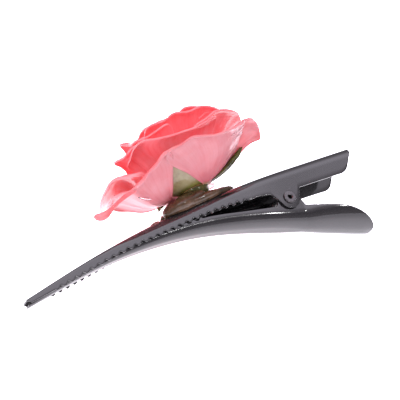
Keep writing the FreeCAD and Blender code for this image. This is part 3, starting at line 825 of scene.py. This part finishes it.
# What sets single petals apart: (direction, level, lift) along the rim and (level, direction) along
# the sides.
OWN = {
    "outer_petal_1": dict(
        curl=0.25, wave=0.25, waves=1.3, phase=0.4, lift=0.45,
        left=[(0, 292), (0.11, 266), (0.28, 246), (0.45, 237), (0.58, 232), (0.75, 230), (0.92, 231)],
        right=[(0, 330), (0.3, 325), (0.5, 320), (0.7, 306), (0.92, 298)],
        edge=[(233, 0.92, -1.3), (239, 0.92, -1.2), (245, 0.92, -0.9), (251, 0.92, -1.2), (257, 0.92, -0.3),
              (264, 0.92, 0.8), (284, 0.92, 0.6), (296, 0.92, -0.3)]),
    "outer_petal_2": dict(
        curl=0.3, wave=0.25, phase=1.9, flush=0.5, left=[(0, 300), (0.6, 292), (0.9, 290)],
        right=[(0, 330), (0.2, 332), (0.35, 331), (0.5, 330), (0.6, 330), (0.68, 335), (0.85, 342)],
        edge=[(290, 0.8, -1.0), (300, 0.85, -1.2), (312, 0.85, -1.8), (321, 0.85, -0.7),
              (331, 0.85, 1.1), (340, 0.85, 2.1), (356, 0.8, 0.4)]),
    "outer_petal_3": dict(
        curl=0.3, wave=0.4, left=[(0, 22), (0.4, 38), (0.9, 41)], right=[(0, 100), (0.9, 98)],
        edge=[(40, 0.86, -0.5), (60, 0.96, 0), (78, 0.94, -1.2), (98, 0.88, -4.0)]),
    "outer_petal_4": dict(
        curl=0.3, wave=0.3, phase=0.3, flush=0.9, lift=-1.6, left=[(0, 97), (0.3, 88), (0.9, 82)],
        right=[(0, 172), (0.3, 196), (0.92, 218)],
        edge=[(82, 0.86, -4.0), (125, 0.9, -3.8), (150, 0.97, -2.0), (171, 0.93, -2.7),
              (183, 0.92, -3.1), (193, 0.92, -2.9), (201, 0.92, -1.9), (214, 0.92, -0.2)]),
    "outer_petal_5": dict(
        curl=0.3, wave=0.3, waves=2.2, phase=0.9, lift=0.2,
        left=[(0, 178), (0.12, 172), (0.2, 162), (0.35, 157), (0.55, 156), (0.66, 156), (0.77, 160),
              (0.95, 167)],
        right=[(0, 190), (0.14, 194), (0.29, 215), (0.45, 228), (0.6, 235), (0.8, 238), (0.92, 240)],
        edge=[(156, 0.93, 0.2), (176, 0.96, -0.1), (183, 0.95, 0), (197, 0.92, 1.1), (211, 0.92, 1.25),
              (218, 0.92, 0.85), (224, 0.92, 0.4), (233, 0.92, -1.3), (240, 0.9, -2.0)]),
    "second_petal_1": dict(
        curl=0.2, wave=0.2, phase=0.7, left=[(0, 205), (0.3, 190), (0.54, 184), (0.7, 184), (0.95, 199)],
        edge=[(200, 0.95, 0), (209, 0.95, -2.2), (216, 0.95, -2.4), (231, 0.95, 0.1), (243, 0.95, 1.1),
              (255, 0.95, 1.8), (269, 0.95, 1.8), (279, 0.95, 0.7), (286, 0.93, 0.3)]),
    "second_petal_2": dict(
        curl=0.2, wave=0.2, phase=0.2,
        edge=[(258, 0.9, 0.8), (270, 0.92, 0.4), (278, 0.92, -0.7), (302, 0.92, -0.6),
              (317, 0.92, -0.3), (332, 0.9, 1.0), (358, 0.88, 1.0)]),
    "second_petal_5": dict(
        curl=0.1, wave=0.15, phase=0.2,
        edge=[(114, 0.7, 0), (150, 0.64, 0), (168, 0.66, 0), (176, 0.76, -1.2), (183, 1.0, -2.5),
              (190, 0.98, -2.0), (198, 0.98, -1.4), (206, 0.96, -2.3), (214, 0.94, -2.0)]),
    "third_petal_1": dict(
        curl=0.2, wave=0.1, phase=0.2,
        edge=[(208, 0.95, 0.9), (213, 0.95, -0.7), (223, 0.95, -1.7), (238, 0.95, -0.7),
              (248, 0.95, -1.4), (262, 0.95, -0.2), (280, 0.95, -0.5), (300, 0.93, 0.6), (316, 0.9, 0.8)]),
    "third_petal_2": dict(reach=0.9),
    "third_petal_5": dict(
        curl=0.1, wave=0.1, phase=0.2,
        edge=[(136, 0.8, 0), (162, 0.82, 0), (170, 0.9, -1.5), (176, 1.02, -3.0), (184, 0.94, -1.2),
              (199, 0.98, -0.1), (211, 1.0, 1.0), (244, 0.92, 0.4)]),
}
RING_LOOK = {
    "outer": dict(curl=0.9, wave=0.9, waves=2.0),
    "second": dict(curl=1.1, wave=0.8, waves=2.0),
    "third": dict(curl=0.9, wave=0.6, waves=1.7),
    "fourth": dict(curl=0.7, wave=0.45, waves=1.5),
    "heart": dict(curl=0.35, wave=0.25, waves=1.0),
}
for ring, (count, first_turn, half_width, spiral) in RINGS.items():
    material, slot = (PALE, "petal_pale") if ring == "outer" else (CORAL, "petal_coral")
    point = 0.05 if ring in ("second", "third") else 0.02
    for n in range(count):
        node = "%s_petal_%d" % (ring, n + 1)
        seed = 1.3 * n + 2.1 * len(ring)
        look = dict(RING_LOOK[ring], phase=seed)
        look.update(OWN.get(node, {}))
        depth = 0.16 + 0.05 * math.sin(2.1 * n + len(ring))
        rim = petal_rim(depth, point, look.pop("reach", 1.0), seed)
        turn = (first_turn + n * 360.0 / count) % 360
        blade("resin_" + node, ring, turn, half_width, spiral, PETAL, rim, WAIST, material, slot, [node],
              tone=0.37 * n + len(ring), **look)

blade("resin_sepal_1", "outer", 234.0, 30.0, 0.0, SEPAL, petal_rim(0.0, 0.0, 0.66, 0.5), 1.0, TAN,
      "calyx_green", ["sepal_1"], lift=-0.35, curl=0.1, wave=0.2, phase=0.6,
      left=[(0, 178), (0.14, 184), (0.29, 205), (0.47, 220), (0.66, 227)],
      right=[(0, 308), (0.11, 282), (0.28, 257), (0.45, 247), (0.66, 241)],
      edge=[(220, 0.66, -2.6), (234, 0.66, -2.6), (248, 0.66, -2.6)])
# direction, half width, length as a share of the cup, and lift of the other sepals
SEPALS = [(323.0, 9.0, 0.95, -1.5), (52.0, 22.0, 0.6, 0.0), (100.0, 22.0, 0.45, 0.0),
          (164.0, 12.0, 0.45, -3.1)]
for n, (turn, half, reach, lift) in enumerate(SEPALS, 2):
    node = "sepal_%d" % n
    blade("resin_" + node, "sepal", turn, half, 0.0, SEPAL, petal_rim(0.1, 0.0, reach, n - 0.5), 1.0, GREEN,
          "calyx_green", [node], pinch=0.8, curl=0.4, wave=0.3, phase=1.3 * n, tone=0.2 * n, across=31,
          upward=25, lift=lift)

# ---------------------------------------------------------------- resin and the stray petal
def on_leaf(x, y):
    """Height of the upper leaf's outside at (x, y), a hair under its skin."""
    crown, half, bend = float(UPPER_CROWN(x)), float(UPPER_HALF(x)), float(UPPER_BEND(x))
    over = min(max(abs(y) - (half - bend), 0), bend)
    return crown - bend + math.sqrt(max(bend**2 - over**2, 0)) - 0.1


def blob(name, centre, semi, slope, replaced, rough, seed, across=64, upward=32):
    """A settled lump of resin: an ellipsoid with soft unevenness, kept above the upper leaf."""
    verts = []
    for j in range(upward + 1):
        v = math.pi * (j / upward - 0.5)
        for i in range(across):
            a = 2 * math.pi * i / across
            d = np.array([math.cos(v) * math.cos(a), math.cos(v) * math.sin(a), math.sin(v)])
            broad = math.sin(3 * a + seed) * math.cos(2 * v)
            fine = 0.6 * math.sin(7 * a - 2 * seed) * math.cos(v) ** 2
            verts.append(d * np.array(semi) * (1 + rough * (broad + fine)))
    turn = np.array(Matrix.Rotation(math.radians(-slope), 3, "Y"))
    verts = np.array(verts) @ turn.T + np.array(centre)
    verts[:, 2] = np.maximum(verts[:, 2], [on_leaf(x, y) for x, y in verts[:, :2]])
    faces = grid_faces(upward + 1, across, True)
    return finish_mesh(name, to_row(verts), faces, AMBER, "upper_jaw", replaced)


blob("resin_pad_lump", (ROSE_X - 0.5, 0, float(UPPER_CROWN(ROSE_X)) + 0.4), (15.5, 6.4, 2.6), 11.0,
     ["resin_pad"], 0.05, 0.7)
blob("resin_fillet", (65.5, -0.5, float(UPPER_CROWN(65.5)) + 1.6), (10.5, 6.6, 3.6), 16.0, [], 0.07, 1.9)
blob("resin_drip_bead", (52.5, 0, float(UPPER_CROWN(52.5)) + 0.1), (2.3, 1.8, 0.9), 15.0,
     ["resin_drip"], 0.06, 2.0, 32, 16)


def smooth_line(points, count):
    """Clip points along the smooth line through the given ones."""
    points = np.asarray(points, float)
    places = np.linspace(0, len(points) - 1, count)
    return np.stack([curve(list(enumerate(points[:, k])))(places) for k in range(points.shape[1])], axis=1)


# fine ridges of resin on the near petals: radius and line
RIDGES = [
    (0.36, [(76.8, -22.0, 32.8), (77.2, -23.4, 33.5), (79.0, -24.0, 34.4), (81.8, -23.5, 35.6),
            (84.2, -23.5, 36.3)]),
    (0.3, [(78.6, -20.6, 33.1), (80.6, -21.3, 34.2), (82.6, -21.2, 35.0), (84.6, -21.0, 35.8)]),
    (0.34, [(50.4, -7.8, 23.7), (49.2, -7.0, 24.3), (47.8, -7.0, 24.9), (46.6, -7.8, 25.2)]),
]
for n, (radius, line_points) in enumerate(RIDGES, 1):
    swell = 0.35 + 0.65 * np.sin(np.linspace(0.25, 2.9, 30))
    tube("resin_ridge_%d" % n, smooth_line(line_points, 30), radius * swell, CLEAR, "upper_jaw")

run = smooth_line([(85.6, 1, 26.4), (86.8, 1, 30.5), (90.4, 1, 35.2), (95.4, 1, 40.6)], 40)
beads = 0.5 + 0.2 * np.sin(np.linspace(0.3, 7.5, 40)) ** 2
tube("resin_run_bead", run, beads, CLEAR, "upper_jaw", ["resin_run"], 20)


def stray():
    """The narrow twisted petal that hangs from the flower's edge over the jaws."""
    rows, cols = 40, 21
    data = smooth_line([(43.4, -13.6, 25.6, 1.3, -0.5, 0.87), (41.5, -11.6, 25.5, 1.5, -0.5, 0.87),
                        (39.4, -9.6, 25.0, 1.6, -0.5, 0.87), (36.4, -8.3, 23.4, 1.8, -0.5, 0.87),
                        (32.6, -8, 21.4, 2.8, -0.35, 0.94), (28.8, -7.6, 21.4, 3.2, 0.1, 0.99)], rows)
    x, y, z, broad, lean_x, lean_z = (data[:, n : n + 1] for n in range(6))
    k = np.sin(np.linspace(-1, 1, cols) * math.pi / 2)[None, :]
    s = np.linspace(0, 1, rows)[:, None]
    tip = np.sqrt(np.clip(1 - ((s - 0.86) / 0.14).clip(0) ** 2, 0, 1))
    width = broad * tip * (0.9 + 0.12 * np.sin(9 * s))
    from_edge = np.minimum((1 - np.abs(k)) * width / 2, np.minimum(s, 1 - s) * 14)
    thick = 0.36 * np.sqrt(1 - (1 - np.clip(from_edge / 0.36, 0, 1)) ** 2)
    sheets = []
    for side in (1, -1):
        off = side * thick + 0.5 * k * k + 0.3 * np.sin(6 * s + 2 * k)
        sheets.append(np.stack([x + lean_x * k * width / 2, y + off, z + lean_z * k * width / 2], axis=-1))
    count = rows * cols
    verts = to_row(np.concatenate([p.reshape(-1, 3) for p in sheets]))
    faces = grid_faces(rows, cols)
    faces += [tuple(count + i for i in reversed(f)) for f in faces]
    spots = np.stack([(k * np.ones_like(s)).ravel() * 0.8, (0.4 + 0.5 * s * np.ones_like(k)).ravel()], axis=1)
    values = {"tone": np.full(2 * count, 0.5), "inside": np.full(2 * count, 0.8)}
    finish_mesh("stray_petal_strip", verts, faces, PALE, "upper_jaw", ["stray_petal"],
                np.tile(spots, (2, 1)), values)


stray()

# ---------------------------------------------------------------- floor, light and camera
material, tree, shader = nodes_of("floor")
grain = noise(tree, object_place(tree), 40, 3)
plug(tree, shader, Base_Color=ramp(tree, grain, [(0.3, grey(0.93)), (0.7, grey(0.95))]), Roughness=0.6)
# Painted light: the floor glows though it is no lamp, faintly towards -Y and brightly towards +Y, lighting
# the clip from below, shaping the bright reflections in its black enamel and washing out the shadows under
# it.
place = add(tree, "ShaderNodeSeparateXYZ", {"Vector": object_place(tree)}).outputs["Y"]
reach = math_node(tree, "MULTIPLY_ADD", place, 4.0, 0.5)
painted_glow = ramp(tree, reach, [(0.1, grey(0.05)), (0.26, grey(0.12)), (0.42, grey(0.45)), (0.58, grey(0.85))])
painted_floor_glow = math_node(tree, "MULTIPLY_ADD", painted_glow, 2.9, 0.12)
plug(tree, shader, Emission_Color=(1.0, 0.97, 1.05, 1.0), Emission_Strength=painted_floor_glow)
plane = bmesh.new()
bmesh.ops.create_grid(plane, x_segments=8, y_segments=8, size=2.0)
floor_mesh = bpy.data.meshes.new("floor")
plane.to_mesh(floor_mesh)
plane.free()
floor = bpy.data.objects.new("floor", floor_mesh)
floor.location = (0, 0, min(cad_box[0][2], 0.0) - 0.0001)
floor_mesh.materials.append(material)
bpy.context.scene.collection.objects.link(floor)

world = bpy.data.worlds.new("studio")
world.use_nodes = True
sky = world.node_tree
around = add(sky, "ShaderNodeTexCoord").outputs["Generated"]
height = add(sky, "ShaderNodeSeparateXYZ", {"Vector": around}).outputs["Z"]
tent = ramp(sky, height, [
    (0.0, (0.50, 0.47, 0.50)), (0.5, (0.26, 0.25, 0.28)), (0.74, (0.74, 0.70, 0.78)),
    (0.88, (1.95, 1.85, 2.1)), (1.0, (2.2, 2.1, 2.35)),
])
sky.links.new(tent, sky.nodes["Background"].inputs["Color"])
bpy.context.scene.world = world


LAMP_DISTANCE, LAMP_RADIANCE = 0.7, 45.0


def softbox(name, direction, size):
    """A square area light facing the object, by the brightness of its surface."""
    lamp = bpy.data.lights.new(name, "AREA")
    lamp.shape = "SQUARE"
    lamp.size = size
    lamp.energy = LAMP_RADIANCE * math.pi * size**2
    body = bpy.data.objects.new(name, lamp)
    aim = Vector(direction).normalized()
    body.location = aim * LAMP_DISTANCE + Vector((0, 0, 0.02))
    body.rotation_euler = aim.to_track_quat("Z", "Y").to_euler()
    bpy.context.scene.collection.objects.link(body)


softbox("key", (-0.45, -0.55, 0.8), 0.06)
softbox("window", (0.5, -0.75, 0.75), 0.05)

# The camera in the clip's frame: the way to it from the jaws' tip, and the picture's right and up.
TOWARDS = Vector((-0.36896, -0.87526, -0.31273))
RIGHT = Vector((0.90851, -0.26860, -0.32011))
UP = Vector((0.19618, -0.40222, 0.89429))
RANGE, SENSOR, LENS = 556.8, 36.0, 158.626      # millimetres
LOOK_RIGHT, LOOK_UP = 0.098174, 0.059361        # from the tip to the picture's centre, per distance
aim = RIGHT * LOOK_RIGHT + UP * LOOK_UP - TOWARDS
camera = bpy.data.objects.new("camera", bpy.data.cameras.new("camera"))
back = -way(aim).normalized()
side = way(UP).cross(back).normalized()
turn = Matrix((side, back.cross(side), back)).transposed().to_4x4()
camera.matrix_world = Matrix.Translation(way(TOWARDS) * RANGE * MM + SHIFT) @ turn
camera.data.sensor_width = SENSOR
camera.data.lens = LENS
camera.data.clip_start = 0.01
bpy.context.scene.collection.objects.link(camera)
bpy.context.scene.camera = camera
bpy.context.scene.view_settings.view_transform = "Standard"
